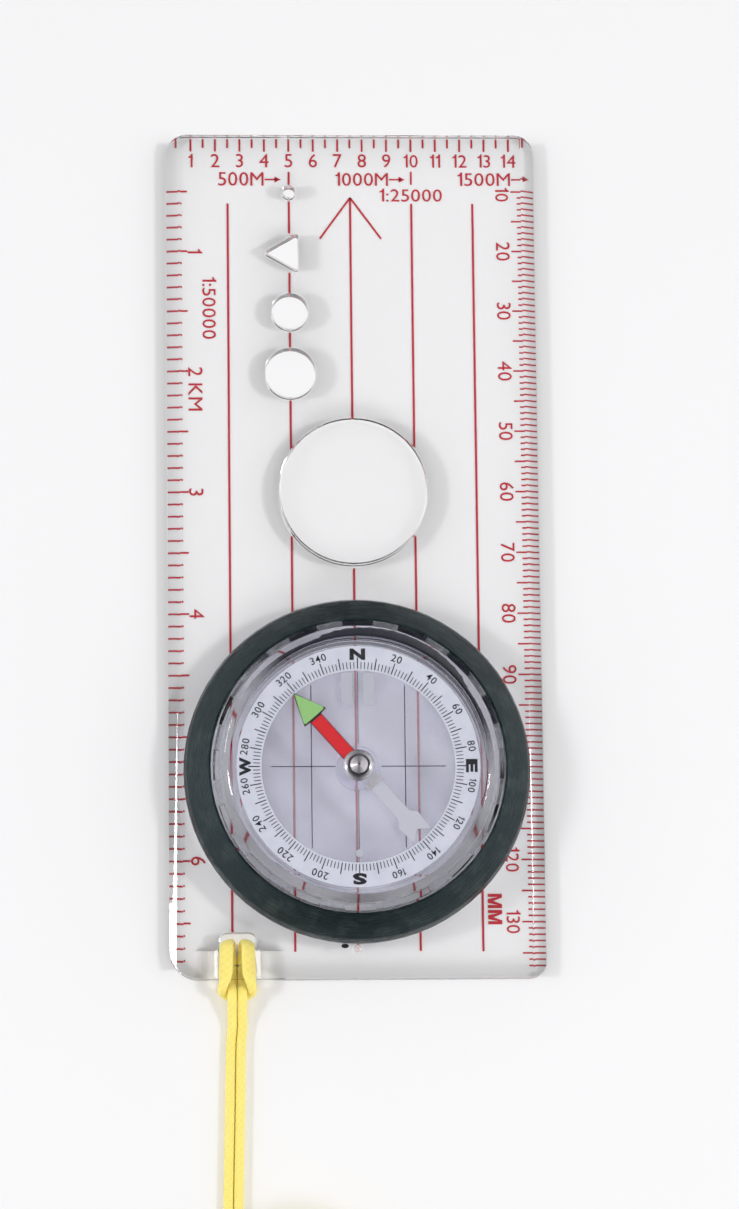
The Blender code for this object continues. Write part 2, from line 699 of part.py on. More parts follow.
def smooth_route(points, spacing):
    """Read points at even distances from a smooth curve through a route's own points."""
    route = [Vector(point) for point in points]
    padded = [2.0 * route[0] - route[1]] + route + [2.0 * route[-1] - route[-2]]
    fine = []
    for index in range(1, len(padded) - 2):
        p0, p1, p2, p3 = padded[index - 1 : index + 3]
        for step in range(24):
            t = step / 24.0
            bend = 2.0 * p0 - 5.0 * p1 + 4.0 * p2 - p3
            twist = 3.0 * p1 - p0 - 3.0 * p2 + p3
            fine.append(0.5 * (2.0 * p1 + (p2 - p0) * t + bend * t * t + twist * t**3))
    fine.append(route[-1])
    length = sum((after - before).length for before, after in zip(fine, fine[1:]))
    count = max(2, round(length / spacing))
    result = [fine[0]]
    travelled = 0.0
    for before, after in zip(fine, fine[1:]):
        stretch = (after - before).length
        while len(result) < count and travelled + stretch >= length * len(result) / count:
            share = (length * len(result) / count - travelled) / stretch
            result.append(before.lerp(after, share))
        travelled += stretch
    result.append(fine[-1])
    return result


def cord_tube(name, points, spacing):
    """A round cord along a route."""
    route = smooth_route(points, spacing)
    data = bpy.data.curves.new(name, "CURVE")
    data.dimensions = "3D"
    data.bevel_depth = CORD_RADIUS * MM
    data.bevel_resolution = 2
    data.use_fill_caps = True
    spline = data.splines.new("POLY")
    spline.points.add(len(route) - 1)
    for point, place in zip(spline.points, route):
        point.co = (place.x * MM, place.y * MM, place.z * MM, 1.0)
    add_object(name, data, YELLOW_CORD)


def make_hitch():
    """The lark's head round the bar, as one loop of cord."""
    west = [(HITCH_MIDDLE_X - out, y, z) for out, y, z in HITCH_HALF]
    east = [(HITCH_MIDDLE_X + out, y, z) for out, y, z in reversed(HITCH_HALF)]
    cord_tube("lanyard_hitch", west + east, 0.8)


def make_tail(name, side, last_y):
    """One of the two tails that run side by side to the coil."""
    offset = side * CORD_SPACING / 2.0
    points = [(HITCH_MIDDLE_X + offset, y, z) for y, z in TAIL_RISE + TAIL_FALL]
    points += [(x + offset, y, CORD_FLOOR_Z) for y, x in TAIL_GROUND]
    points.append((TAIL_GROUND[-1][1] + offset, last_y, CORD_FLOOR_Z))
    cord_tube(name, points, 2.2)


def make_lanyard():
    """The hitch, both tails, the wound coil and the knot that joins the tails."""
    make_hitch()
    make_tail("lanyard_west", -1, WEST_TAIL_END_Y)
    make_tail("lanyard_east", 1, EAST_TAIL_END_Y)
    low = CORD_FLOOR_Z - CORD_RADIUS
    coil = fillet(ring_profile(COIL_INNER, COIL_OUTER, low, low + COIL_HEIGHT), COIL_ROUND, steps=2)
    turned("lanyard_coil", coil, YELLOW_CORD, closed=True, steps=40, centre=COIL_CENTRE)
    work = bmesh.new()
    bmesh.ops.create_uvsphere(work, u_segments=16, v_segments=10, radius=MM)
    bmesh.ops.scale(work, vec=KNOT_RADII, verts=work.verts)
    knot = add_object("lanyard_knot", finished(work, "lanyard_knot"), YELLOW_CORD)
    knot.location = (COIL_CENTRE[0] * MM, COIL_CENTRE[1] * MM, (KNOT_RADII[2] + KNOT_LIFT) * MM)


def main():
    """Make every part."""
    make_baseplate()
    make_plate_fittings()
    housing = axis_empty("dial_axis", DIAL_CENTRE)
    make_bezel(housing)
    make_capsule(housing)
    make_dial(housing)
    make_pivot(housing)
    needle = axis_empty("needle_axis", DIAL_CENTRE, NEEDLE_BEARING)
    make_needle(needle)
    make_lanyard()
    bpy.context.view_layer.update()


main()
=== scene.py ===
"""A clear baseplate compass with a turning liquid dial, seen from above on a pale floor."""
import math

import bmesh
import bpy
from mathutils import Matrix, Vector


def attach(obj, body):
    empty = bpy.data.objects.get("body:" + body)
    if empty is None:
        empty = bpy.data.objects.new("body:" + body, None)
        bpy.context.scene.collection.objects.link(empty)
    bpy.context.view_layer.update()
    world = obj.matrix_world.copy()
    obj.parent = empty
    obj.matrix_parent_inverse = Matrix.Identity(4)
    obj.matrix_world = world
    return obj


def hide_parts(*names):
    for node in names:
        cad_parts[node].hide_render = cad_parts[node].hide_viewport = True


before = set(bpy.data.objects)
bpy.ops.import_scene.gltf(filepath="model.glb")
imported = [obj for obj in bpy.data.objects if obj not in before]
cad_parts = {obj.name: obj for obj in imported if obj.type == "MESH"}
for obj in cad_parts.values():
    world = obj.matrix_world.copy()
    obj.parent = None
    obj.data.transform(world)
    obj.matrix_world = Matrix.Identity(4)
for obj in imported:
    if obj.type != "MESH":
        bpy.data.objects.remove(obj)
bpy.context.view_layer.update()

MM = 0.001
PLATE = "plate"
DIAL = "dial_housing"
NEEDLE = "needle"

# Lengths are in millimetres from here on, unless a comment says metres.
# Plate scales: across is counted from the west edge, down from the scale's zero line
SCALE_WEST_X = -30.0
SCALE_ZERO_Y = 70.0
PLATE_TOP_Y = 69.1
INK_LOW = 0.03
INK_HIGH = 0.06
INK_UNEVEN = 0.06
INK_BLACK = (0.012, 0.014, 0.018)

LINE_WIDTH = 0.34
TICK_WIDTH = 0.3
FINE_WIDTH = 0.26
SIDEWAYS = -90.0
ARROW_DOWN = 7.95
# A distance's text, its middle, its width, and where its arrow ends
DISTANCES = (("500M", 12.2, 7.4, 18.7), ("1000M", 31.95, 8.6, 39.0), ("1500M", 51.95, 8.6, 59.0))
# A line's place across, its start, and the spans of the openings that it crosses
STENCIL_SPANS = [(9.15, 11.65), (17.0, 23.6), (27.2, 33.6), (36.3, 44.9)]
BROKEN_LINES = (
    (20.0, 6.65, STENCIL_SPANS + [(53.1, 67.3)]),
    (40.0, 12.0, [(53.1, 67.3)]),
    (30.0, 11.0, [(47.8, 72.6)]),
)
LINES_END = 134.6
DOT_CENTRE = (-2.15, -63.95)
DOT_RADII = (0.6, 0.36)
DOT_HEIGHTS = (2.99, 3.03)
DOT_STEPS = 20

# Dial
DIAL_CENTRE = Vector((0.0, -36.0, 0.0))
RING_TOP = 8.6
DISC_TOP = 8.35
BEZEL_TOP = 9.4
CUP_FOOT_TOP = 3.75
CUP_LEDGE_RADIUS = 20.2
CUP_TAB_RADIUS = 22.17
CUP_NOTCH_FLOOR = 10.0
CUP_WALL_RADIUS = 23.0
# Towards this side the cup carries painted shade, standing in for the dark bezel bore seen through the clear
# plastic
CUP_PAINTED_SHADE_TOWARDS = (0.30, 0.95, 0.0)
NEEDLE_BEARING = 41.5
HUB_CENTRE = (0.0, -36.0, 10.0)
DIAL_INK_SUNK = 0.01
DIAL_INK_RAISED = 0.02
TICKS_START = 15.65
# How far out a tick reaches, and its width
TEN_DEGREE_TICK = (17.5, 0.17)
TWO_DEGREE_TICK = (16.75, 0.13)
NUMBERS_OUT = 18.3
LETTERS_OUT = 18.0
# The lines of the disc's east half that have a twin in the west: (start, end, width)
DISC_LINES = (
    ((7.45, 13.0), (7.45, -13.0), 0.15),
    ((3.7, 0.0), (13.9, 0.0), 0.15),
)

# Lanyard
CORD_SPACING = 1.6
CORD_FLOOR_Z = 0.8
COIL_CENTRE = (-9.7, -119.0)
KNOT_CENTRE = (-9.7, -119.0, 1.6)
HITCH_MIDDLE_X = -19.3
TAIL_RISE = [(-66.95, 0.80), (-68.2, 0.80), (-69.3, 0.95), (-70.2, 1.60), (-70.9, 2.30), (-71.6, 2.60)]
TAIL_FALL = [(-72.6, 2.40), (-74.4, 1.40), (-76.6, 0.80)]
TAIL_GROUND = [(-80.0, -19.55), (-90.0, -19.75), (-98.0, -19.95), (-105.0, -20.1), (-109.0, -20.1)]
TAIL_END_Y = -114.0
CORD_TIP = 0.35
FINE_STEPS = 24
BRAID_STRANDS = 8
BRAID_PITCH = 1.15

# One side of the hitch from the middle line outwards: (out, y, z)
HITCH_HALF = [
    (0.80, -66.6, 0.80), (0.85, -65.4, 0.80), (1.10, -64.2, 1.05), (1.45, -63.5, 1.90),
    (1.65, -63.4, 2.90), (1.70, -63.9, 3.75), (1.75, -64.9, 4.05), (1.80, -67.0, 4.05),
    (1.95, -68.8, 4.00), (2.20, -69.9, 3.50), (2.38, -70.6, 2.60), (2.35, -71.0, 1.70),
    (1.80, -71.4, 0.95), (0.90, -71.7, 0.82),
]

# The knot: turns of flattened cord side by side round a core
KNOT_TURNS = 3
KNOT_TURN_SPACING = 1.25
KNOT_TURN_RADII = (1.35, 1.05)
KNOT_SLANT = 0.25
KNOT_CORD_HALF = (0.68, 0.42)
KNOT_STEPS = 28
KNOT_CORD_STEPS = 14
KNOT_CORE_HALF = (2.3, 1.15, 0.95)

# Camera: place in metres, turns in degrees, lens and sensor in millimetres
CAMERA_PLACE = (-0.0395174, -0.1573084, 0.8264664)
CAMERA_TURNS = (10.23769, -2.79404, -0.64431)
CAMERA_LENS = 155.24
CAMERA_SENSOR = 36.0

# Lights: name, place and size in metres, power in watts, and whether clear and shiny things show it
LIGHT_TARGET = (0.0, -0.02, 0.0)
LIGHTS = (
    ("left", (-0.69, -0.02, 0.58), (0.14, 0.12), 1.7, True),
    ("right", (0.59, -0.02, 0.68), (0.14, 0.12), 2.0, True),
    ("front", (0.05, -0.78, 0.80), (0.9, 0.4), 2.4, False),
    ("top", (0.0, 0.05, 1.30), (1.2, 1.2), 3.3, False),
)

# The studio's light from a direction: the direction's part from, to, and the brightness at each
SKY_COLOUR = (1.0, 0.995, 1.0, 1.0)
SKY_UPWARDS = (0.55, 0.82, 0.78, 0.08)
SKY_SIDEWAYS = (0.1, 0.7, 0.45, 1.38)
SKY_SOUTH = (-0.98, -0.8, 0.1, 1.0)
FLOOR_HALF_WIDTH = 4.0
FLOOR_Z = -0.00004
LIGHT_BOUNCES = 32

# Refined copies: weld in metres, angles in degrees, and the upward part of a face's direction
WELD_DISTANCE = 1e-7
FLAT_ANGLE = 0.4
SHARP_ANGLE = 32.0
LENS_SHARP_ANGLE = 50.0
TURNED_SHARP_ANGLE = 24.0
LEVEL_FROM = 0.99999
UPRIGHT_TO = 0.001

# Clear plastic
ACRYLIC_IOR = 1.49
DISC_IN_LIQUID_IOR = 1.08
JEWEL_IOR = 1.77
PURE = (1.0, 1.0, 1.0)
CAPSULE_TINT = (0.96, 0.96, 0.985)
CAPSULE_SHADOW = (0.97, 0.97, 0.985)
PLATE_RIM_X = 29.0


# ---------------------------------------------------------------- camera and light
def make_camera():
    """The camera above the compass."""
    data = bpy.data.cameras.new("view")
    data.sensor_width = CAMERA_SENSOR
    data.lens = CAMERA_LENS
    data.clip_start = 0.05
    data.clip_end = 20.0
    camera = bpy.data.objects.new("view", data)
    bpy.context.collection.objects.link(camera)
    camera.location = CAMERA_PLACE
    camera.rotation_euler = [math.radians(turn) for turn in CAMERA_TURNS]
    bpy.context.scene.camera = camera


def add_light(name, place, size, power, shown):
    """One soft light aimed at the compass."""
    data = bpy.data.lights.new(name, "AREA")
    data.shape = "RECTANGLE"
    data.size, data.size_y = size
    data.energy = power
    light = bpy.data.objects.new(name, data)
    bpy.context.collection.objects.link(light)
    light.location = place
    light.rotation_euler = (Vector(LIGHT_TARGET) - Vector(place)).to_track_quat("-Z", "Y").to_euler()
    light.visible_glossy = shown
    light.visible_transmission = shown


# ---------------------------------------------------------------- materials
class Shade:
    """A material with a Principled shader and a few short calls to wire nodes.

    The first colour and roughness are what a viewer without the nodes shows.
    """

    def __init__(self, name, colour=(0.8, 0.8, 0.8), roughness=0.5, metallic=0.0):
        self.material = bpy.data.materials.new(name)
        self.material.use_nodes = True
        self.tree = self.material.node_tree
        self.shader = self.tree.nodes["Principled BSDF"]
        self.put(self.shader, {"Base Color": (*colour, 1.0), "Roughness": roughness, "Metallic": metallic})

    def put(self, item, values):
        """Set or link a node's inputs by name or number."""
        for key, value in values.items():
            socket = item.inputs[key]
            if isinstance(value, bpy.types.NodeSocket):
                self.tree.links.new(value, socket)
            else:
                socket.default_value = value
        return item

    def node(self, kind, values=None, **settings):
        """Add a node with its settings and inputs."""
        item = self.tree.nodes.new("ShaderNode" + kind)
        for key, value in settings.items():
            setattr(item, key, value)
        return self.put(item, values or {})

    def place(self):
        """A point's place in the piece's own frame, in millimetres."""
        where = self.node("TexCoord").outputs["Object"]
        return self.vector("SCALE", where, 1.0 / MM)

    def about_dial(self, where):
        """The level step from the dial's axis to a point, its length, and the point's height."""
        parts = self.node("SeparateXYZ", {0: self.vector("SUBTRACT", where, tuple(DIAL_CENTRE))}).outputs
        level = self.node("CombineXYZ", {0: parts[0], 1: parts[1]}).outputs[0]
        return level, self.vector("LENGTH", level), parts[2]

    def math(self, operation, first, second=0.0, third=0.0):
        """One step of arithmetic."""
        return self.node("Math", {0: first, 1: second, 2: third}, operation=operation).outputs[0]

    def vector(self, operation, first, second=None):
        """One step with vectors; a length or a dot product comes out as a number."""
        values = {0: first}
        if second is not None:
            values[3 if operation == "SCALE" else 1] = second
        outputs = self.node("VectorMath", values, operation=operation).outputs
        return outputs[1 if operation in ("LENGTH", "DOT_PRODUCT") else 0]

    def noise(self, where, scale, detail=3.0, roughness=0.55):
        """Soft random grain."""
        values = {"Vector": where, "Scale": scale, "Detail": detail, "Roughness": roughness}
        return self.node("TexNoise", values).outputs["Fac"]

    def span(self, value, low, high, to_low, to_high):
        """Move a value from one range to another, clamped."""
        values = {0: value, 1: low, 2: high, 3: to_low, 4: to_high}
        return self.node("MapRange", values).outputs[0]

    def mix(self, factor, first, second):
        """Mix two colours."""
        item = self.node("Mix", data_type="RGBA")
        self.put(item, {0: factor})
        for index, value in ((6, first), (7, second)):
            if isinstance(value, bpy.types.NodeSocket):
                self.tree.links.new(value, item.inputs[index])
            else:
                item.inputs[index].default_value = (*value, 1.0)
        return item.outputs[2]

    def bump(self, height, distance, strength):
        """Give the shader a bump of so many metres."""
        values = {"Height": height, "Distance": distance, "Strength": strength}
        self.put(self.shader, {"Normal": self.node("Bump", values).outputs[0]})

    def thin_shadow(self, tint, wall=1.0, rim=1.0):
        """Light what lies under the clear plastic, but for the share that upright walls turn aside."""
        light = self.node("LightPath")
        soft = self.math("MAXIMUM", light.outputs["Is Shadow Ray"], light.outputs["Is Diffuse Ray"])
        geometry = self.node("NewGeometry")
        steep = self.node("SeparateXYZ", {0: geometry.outputs["True Normal"]}).outputs[2]
        upright = self.math("LESS_THAN", self.math("ABSOLUTE", steep), 0.5)
        leaving = self.math("MULTIPLY", upright, geometry.outputs["Backfacing"])
        across = self.node("SeparateXYZ", {0: self.place()}).outputs[0]
        outer = self.math("GREATER_THAN", self.math("ABSOLUTE", across), PLATE_RIM_X)
        entering = self.math("MULTIPLY", self.math("SUBTRACT", upright, leaving), outer)
        tone = self.mix(leaving, tint, tuple(part * wall for part in tint))
        tone = self.mix(entering, tone, tuple(part * rim for part in tint))
        clear = self.node("BsdfTransparent", {"Color": tone})
        both = self.node("MixShader", {0: soft, 1: self.shader.outputs[0], 2: clear.outputs[0]})
        out = self.tree.nodes["Material Output"]
        self.put(out, {"Surface": both.outputs[0]})


def clear_plastic(name, tint, grain_scale, roughness, shadow=None, wall=1.0, rim=1.0, cloud=None,
                  ior=ACRYLIC_IOR, transmission=1.0):
    """Clear moulded plastic with faint smudges, hairline scratches and, if asked, cloudy patches."""
    shade = Shade(name, tint, 0.02)
    shade.put(shade.shader, {"Transmission Weight": transmission, "IOR": ior})
    where = shade.place()
    smudge = shade.noise(where, grain_scale, 4.0, 0.6)
    shade.put(shade.shader, {"Roughness": shade.span(smudge, 0.45, 0.75, *roughness)})
    stretch = {"Vector": where, "Rotation": (0.0, 0.0, 0.5), "Scale": (9.0, 0.12, 1.0)}
    stretched = shade.node("Mapping", stretch).outputs[0]
    scratch = shade.span(shade.noise(stretched, 1.0, 2.0, 0.4), 0.74, 0.78, 0.0, 1.0)
    shade.bump(scratch, 0.000004, 0.35)
    if cloud:
        patch = shade.span(shade.noise(where, 0.11, 2.0, 0.4), 0.38, 0.62, 0.0, 1.0)
        shade.put(shade.shader, {"Base Color": shade.mix(patch, cloud, tint)})
    if shadow:
        shade.thin_shadow(shadow, wall, rim)
    return shade.material


def ink(name, colour):
    """Printed ink with slightly uneven cover."""
    shade = Shade(name, colour, 0.45)
    where = shade.place()
    cover = shade.span(shade.noise(where, 3.5, 4.0), 0.3, 0.7, 1.0 - INK_UNEVEN, 1.0 + INK_UNEVEN)
    tone = shade.node("HueSaturation", {"Value": cover, "Color": (*colour, 1.0)})
    shade.put(shade.shader, {"Base Color": tone.outputs[0]})
    shade.bump(shade.noise(where, 30.0, 2.0), 0.000004, 0.4)
    return shade.material


# ---------------------------------------------------------------- building pieces
def new_piece(name, mesh, material, body, smooth=False):
    """Make an object from a mesh and let it ride on a body."""
    piece = bpy.data.objects.new(name, mesh)
    bpy.context.collection.objects.link(piece)
    mesh.materials.append(material)
    if smooth:
        mesh.shade_smooth()
    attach(piece, body)
    return piece


def slab(work, outline, low, high):
    """A thin flat solid from an outline."""
    bottom = [work.verts.new((x * MM, y * MM, low * MM)) for x, y in outline]
    top = [work.verts.new((x * MM, y * MM, high * MM)) for x, y in outline]
    work.faces.new(list(reversed(bottom)))
    work.faces.new(top)
    for index in range(len(outline)):
        after = (index + 1) % len(outline)
        work.faces.new((bottom[index], bottom[after], top[after], top[index]))


def stroke(work, start, end, width, low, high):
    """A printed line between two points."""
    start, end = Vector(start), Vector(end)
    across = (end - start).normalized().orthogonal() * width / 2.0
    corners = (start - across, end - across, end + across, start + across)
    if (corners[1] - corners[0]).cross(corners[2] - corners[0]) < 0.0:
        corners = corners[::-1]
    slab(work, [tuple(corner) for corner in corners], low, high)


# A one with a flag and no foot, in units of a capital's height
OWN_OUTLINES = {
    "1": [(0.13, 0.0), (0.27, 0.0), (0.27, 1.0), (0.17, 1.0), (0.11, 0.86), (-0.04, 0.79), (-0.04, 0.70),
          (0.13, 0.72)],
}
CAPITAL_SHARE = 0.729
SPACE_WIDTH = 0.35
GLYPHS = {}


def glyph(letter, weight):
    """A letter's flat faces as (points, faces), in units of a capital's height."""
    if letter in OWN_OUTLINES:
        outline = OWN_OUTLINES[letter]
        return outline, [tuple(range(len(outline)))]
    key = (letter, weight)
    if key not in GLYPHS:
        data = bpy.data.curves.new("text", "FONT")
        data.body = letter
        data.size = 1.0 / CAPITAL_SHARE
        data.resolution_u = 3
        data.offset = weight
        item = bpy.data.objects.new("text", data)
        bpy.context.collection.objects.link(item)
        bpy.context.view_layer.update()
        mesh = bpy.data.meshes.new_from_object(item.evaluated_get(bpy.context.evaluated_depsgraph_get()))
        points = [tuple(vertex.co.xy) for vertex in mesh.vertices]
        faces = [tuple(face.vertices) for face in mesh.polygons]
        bpy.data.objects.remove(item, do_unlink=True)
        bpy.data.curves.remove(data)
        bpy.data.meshes.remove(mesh)
        GLYPHS[key] = (points, faces)
    return GLYPHS[key]


def write(work, text, place, height, width=None, turn=0.0, weight=0.0, low=INK_LOW, high=INK_HIGH, gap=0.13):
    """Printed text about its middle; height and width are those of the ink in millimetres."""
    laid = []
    pen = 0.0
    for letter in text:
        if letter == " ":
            pen += SPACE_WIDTH
            continue
        points, faces = glyph(letter, weight)
        left = min(x for x, y in points)
        laid.append(([(x - left + pen, y) for x, y in points], faces))
        pen += max(x for x, y in points) - left + gap
    xs = [x for points, faces in laid for x, y in points]
    ys = [y for points, faces in laid for x, y in points]
    tall = height / (max(ys) - min(ys))
    wide = width / (max(xs) - min(xs)) if width else tall
    middle = Vector(((min(xs) + max(xs)) / 2.0, (min(ys) + max(ys)) / 2.0))
    spin = Matrix.Rotation(math.radians(turn), 2)
    for points, faces in laid:
        sheet = bmesh.new()
        made = []
        for x, y in points:
            spot = spin @ Vector(((x - middle.x) * wide, (y - middle.y) * tall)) + Vector(place)
            made.append(sheet.verts.new((spot.x * MM, spot.y * MM, low * MM)))
        for face in faces:
            sheet.faces.new([made[index] for index in face])
        bmesh.ops.remove_doubles(sheet, verts=sheet.verts, dist=1e-8)
        raised = bmesh.ops.extrude_face_region(sheet, geom=sheet.faces[:], use_keep_orig=True)["geom"]
        lifted = [item for item in raised if isinstance(item, bmesh.types.BMVert)]
        bmesh.ops.translate(sheet, vec=(0.0, 0.0, (high - low) * MM), verts=lifted)
        mesh = bpy.data.meshes.new("letter")
        sheet.to_mesh(mesh)
        sheet.free()
        work.from_mesh(mesh)
        bpy.data.meshes.remove(mesh)


def letter_m(work, place, height, width, stem, turn):
    """A bold letter M about its middle."""
    half, slope = width / 2.0, stem * 1.25
    east = [(slope * 0.5, 0.0), (half - stem, height * 0.72), (half - stem, 0.0), (half, 0.0), (half, height),
            (half - slope, height), (0.0, height * 0.38)]
    outline = east + [(-x, y) for x, y in east[-2::-1]]
    spin = Matrix.Rotation(math.radians(turn), 2)
    corners = [spin @ Vector((x, y - height / 2.0)) + Vector(place) for x, y in outline]
    slab(work, [tuple(corner) for corner in corners], INK_LOW, INK_HIGH)


def finish_mesh(work, name):
    """Turn a bmesh into a mesh with outward faces."""
    bmesh.ops.remove_doubles(work, verts=work.verts, dist=1e-9)
    bmesh.ops.recalc_face_normals(work, faces=work.faces)
    mesh = bpy.data.meshes.new(name)
    work.to_mesh(mesh)
    work.free()
    return mesh


# ---------------------------------------------------------------- lanyard
def clamp(share):
    """A number held between 0 and 1."""
    return min(1.0, max(0.0, share))


def ease(share):
    """A share between 0 and 1 that starts and ends gently."""
    return share * share * (3.0 - 2.0 * share)


def route_length(route):
    """Length along a route."""
    return sum((after - before).length for before, after in zip(route, route[1:]))


def smooth_route(points, spacing):
    """Read points at even distances from a smooth curve through a route's own points."""
    route = [Vector(point) for point in points]
    padded = [2.0 * route[0] - route[1]] + route + [2.0 * route[-1] - route[-2]]
    fine = []
    for index in range(1, len(padded) - 2):
        p0, p1, p2, p3 = padded[index - 1 : index + 3]
        for step in range(FINE_STEPS):
            t = step / FINE_STEPS
            bend = 2.0 * p0 - 5.0 * p1 + 4.0 * p2 - p3
            twist = 3.0 * p1 - p0 - 3.0 * p2 + p3
            fine.append(0.5 * (2.0 * p1 + (p2 - p0) * t + bend * t * t + twist * t**3))
    fine.append(route[-1])
    length = route_length(fine)
    count = round(length / spacing)
    result = [fine[0]]
    travelled = 0.0
    for before, after in zip(fine, fine[1:]):
        stretch = (after - before).length
        while len(result) < count and travelled + stretch >= length * len(result) / count:
            share = (length * len(result) / count - travelled) / stretch
            result.append(before.lerp(after, share))
        travelled += stretch
    result.append(fine[-1])
    return result


# How the outer strand winds: (degrees turned, distance from the coil's middle, height)
WINDING = [
    (0, 11.2, 0.80), (270, 11.2, 0.80), (330, 8.0, 0.80), (570, 8.0, 0.80), (630, 8.0, 2.32),
    (870, 8.0, 2.32), (930, 11.2, 2.32), (1170, 11.2, 2.32), (1230, 11.2, 3.84), (1470, 11.2, 3.84),
    (1530, 8.0, 3.84), (1800, 8.0, 3.84), (1890, 4.8, 3.84),
]
WEST_END = [(2160, 2.25, 1.60)]
EAST_END = [(1985, 3.75, 1.60)]
WINDING_STEP = 15


def read_winding(keys, angle):
    """The distance and height of the winding at an angle, eased between its keys."""
    for before, after in zip(keys, keys[1:]):
        if angle <= after[0]:
            share = ease((angle - before[0]) / (after[0] - before[0]))
            return [before[axis] + (after[axis] - before[axis]) * share for axis in (1, 2)]
    return list(keys[-1][1:])


def strand_route(side, end):
    """One strand from under the bar, along the ground and round the coil."""
    offset = side * CORD_SPACING / 2.0
    points = [(HITCH_MIDDLE_X + offset, y, z) for y, z in TAIL_RISE + TAIL_FALL]
    points += [(x + offset, y, CORD_FLOOR_Z) for y, x in TAIL_GROUND]
    points.append((TAIL_GROUND[-1][1] + offset, TAIL_END_Y, CORD_FLOOR_Z))
    keys = WINDING + end
    inward = 0.0 if side < 0 else CORD_SPACING
    for angle in range(0, keys[-1][0] + 1, WINDING_STEP):
        out, height = read_winding(keys, angle)
        turn = math.radians(180.0 + angle)
        x = COIL_CENTRE[0] + (out - inward) * math.cos(turn)
        y = COIL_CENTRE[1] + (out - inward) * math.sin(turn)
        points.append((x, y, height))
    return points


def frames_along(route):
    """Directions along a route, carried without twist: (along, across, up) at each point."""
    across = Vector((1.0, 0.0, 0.0))
    result = []
    for index in range(len(route)):
        before = route[max(0, index - 1)]
        after = route[min(len(route) - 1, index + 1)]
        along = (after - before).normalized()
        across = (across - along * across.dot(along)).normalized()
        result.append((along, across.copy(), along.cross(across)))
    return result


def braid_height(around, along):
    """The relief of a round braid: strands that cross over and under each other."""
    one = math.sin(BRAID_STRANDS / 2.0 * around + along)
    two = math.sin(BRAID_STRANDS / 2.0 * around - along)
    weave = math.sin(BRAID_STRANDS / 2.0 * around) * math.sin(along)
    return 0.5 * max(one, two) + 0.25 * weave - 0.35


def join_rings(work, before, after):
    """Faces between two rings of as many points."""
    for step in range(len(before)):
        follow = (step + 1) % len(before)
        work.faces.new((before[step], before[follow], after[follow], after[step]))


def braided_tube(name, route, section, ring_steps, relief):
    """A soft braided cord; section gives its half width and half thickness at a share of its length."""
    work = bmesh.new()
    frames = frames_along(route)
    travelled = 0.0
    rings = []
    for index, point in enumerate(route):
        if index:
            travelled += (point - route[index - 1]).length
        wide, thick = section(index / (len(route) - 1))
        along, across, up = frames[index]
        ring = []
        for step in range(ring_steps):
            turn = 2.0 * math.pi * step / ring_steps
            height = braid_height(turn, 2.0 * math.pi * travelled / BRAID_PITCH) * relief
            spot = across * (wide + height) * math.cos(turn) + up * (thick + height) * math.sin(turn)
            ring.append(work.verts.new((point + spot) * MM))
        rings.append(ring)
    for before, after in zip(rings, rings[1:]):
        join_rings(work, before, after)
    for ring, place, sign in ((rings[0], 0, -1.0), (rings[-1], -1, 1.0)):
        tip = work.verts.new((route[place] + frames[place][0] * sign * CORD_TIP) * MM)
        for step in range(ring_steps):
            work.faces.new((ring[step], ring[(step + 1) % ring_steps], tip))
    return finish_mesh(work, name)


def cord_material():
    """Yellow braided polyester, with painted shade in the hollows between the strands."""
    shade = Shade("cord_braid", (0.95, 0.74, 0.14), 0.7)
    where = shade.place()
    patch = shade.noise(where, 0.35, 3.0)
    fibre = shade.noise(where, 9.0, 4.0, 0.7)
    # Painted shade: the hollows between braid strands, found from the mesh's pointiness, get a darker yellow
    gap = shade.span(shade.node("NewGeometry").outputs["Pointiness"], 0.44, 0.53, 0.0, 1.0)
    tone = shade.mix(gap, (0.90, 0.62, 0.08), (1.0, 0.85, 0.20))
    tone = shade.mix(shade.span(patch, 0.35, 0.7, 0.0, 0.35), tone, (1.0, 0.85, 0.25))
    tone = shade.mix(shade.span(fibre, 0.4, 0.75, 0.0, 0.35), tone, (1.0, 0.90, 0.42))
    shade.put(shade.shader, {"Base Color": tone, "Sheen Weight": 0.35, "Sheen Roughness": 0.4,
                             "Subsurface Weight": 0.15, "Subsurface Scale": 0.0006})
    shade.bump(fibre, 0.00004, 0.5)
    return shade.material


def hitch_section(share):
    """Round under the plate and at the bight, flat over the bar."""
    from_middle = abs(share - 0.5) * 2.0
    flat = ease(clamp((from_middle - 0.28) / 0.14) * clamp((0.90 - from_middle) / 0.12))
    return 0.78 + 0.42 * flat, 0.75 - 0.20 * flat


def strand_section(share):
    """A little fuller where the strands lie side by side than in the coil."""
    full = 0.775 - 0.04 * clamp((share - 0.1) / 0.05)
    return full, full


def make_hitch(look):
    """The loop of cord over the bar."""
    west = [(HITCH_MIDDLE_X - out, y, z) for out, y, z in HITCH_HALF]
    east = [(HITCH_MIDDLE_X + out, y, z) for out, y, z in reversed(HITCH_HALF)]
    mesh = braided_tube("hitch", smooth_route(west + east, 0.22), hitch_section, 28, 0.08)
    hitch = new_piece("hitch", mesh, look, PLATE, smooth=True)
    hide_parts("lanyard_hitch")


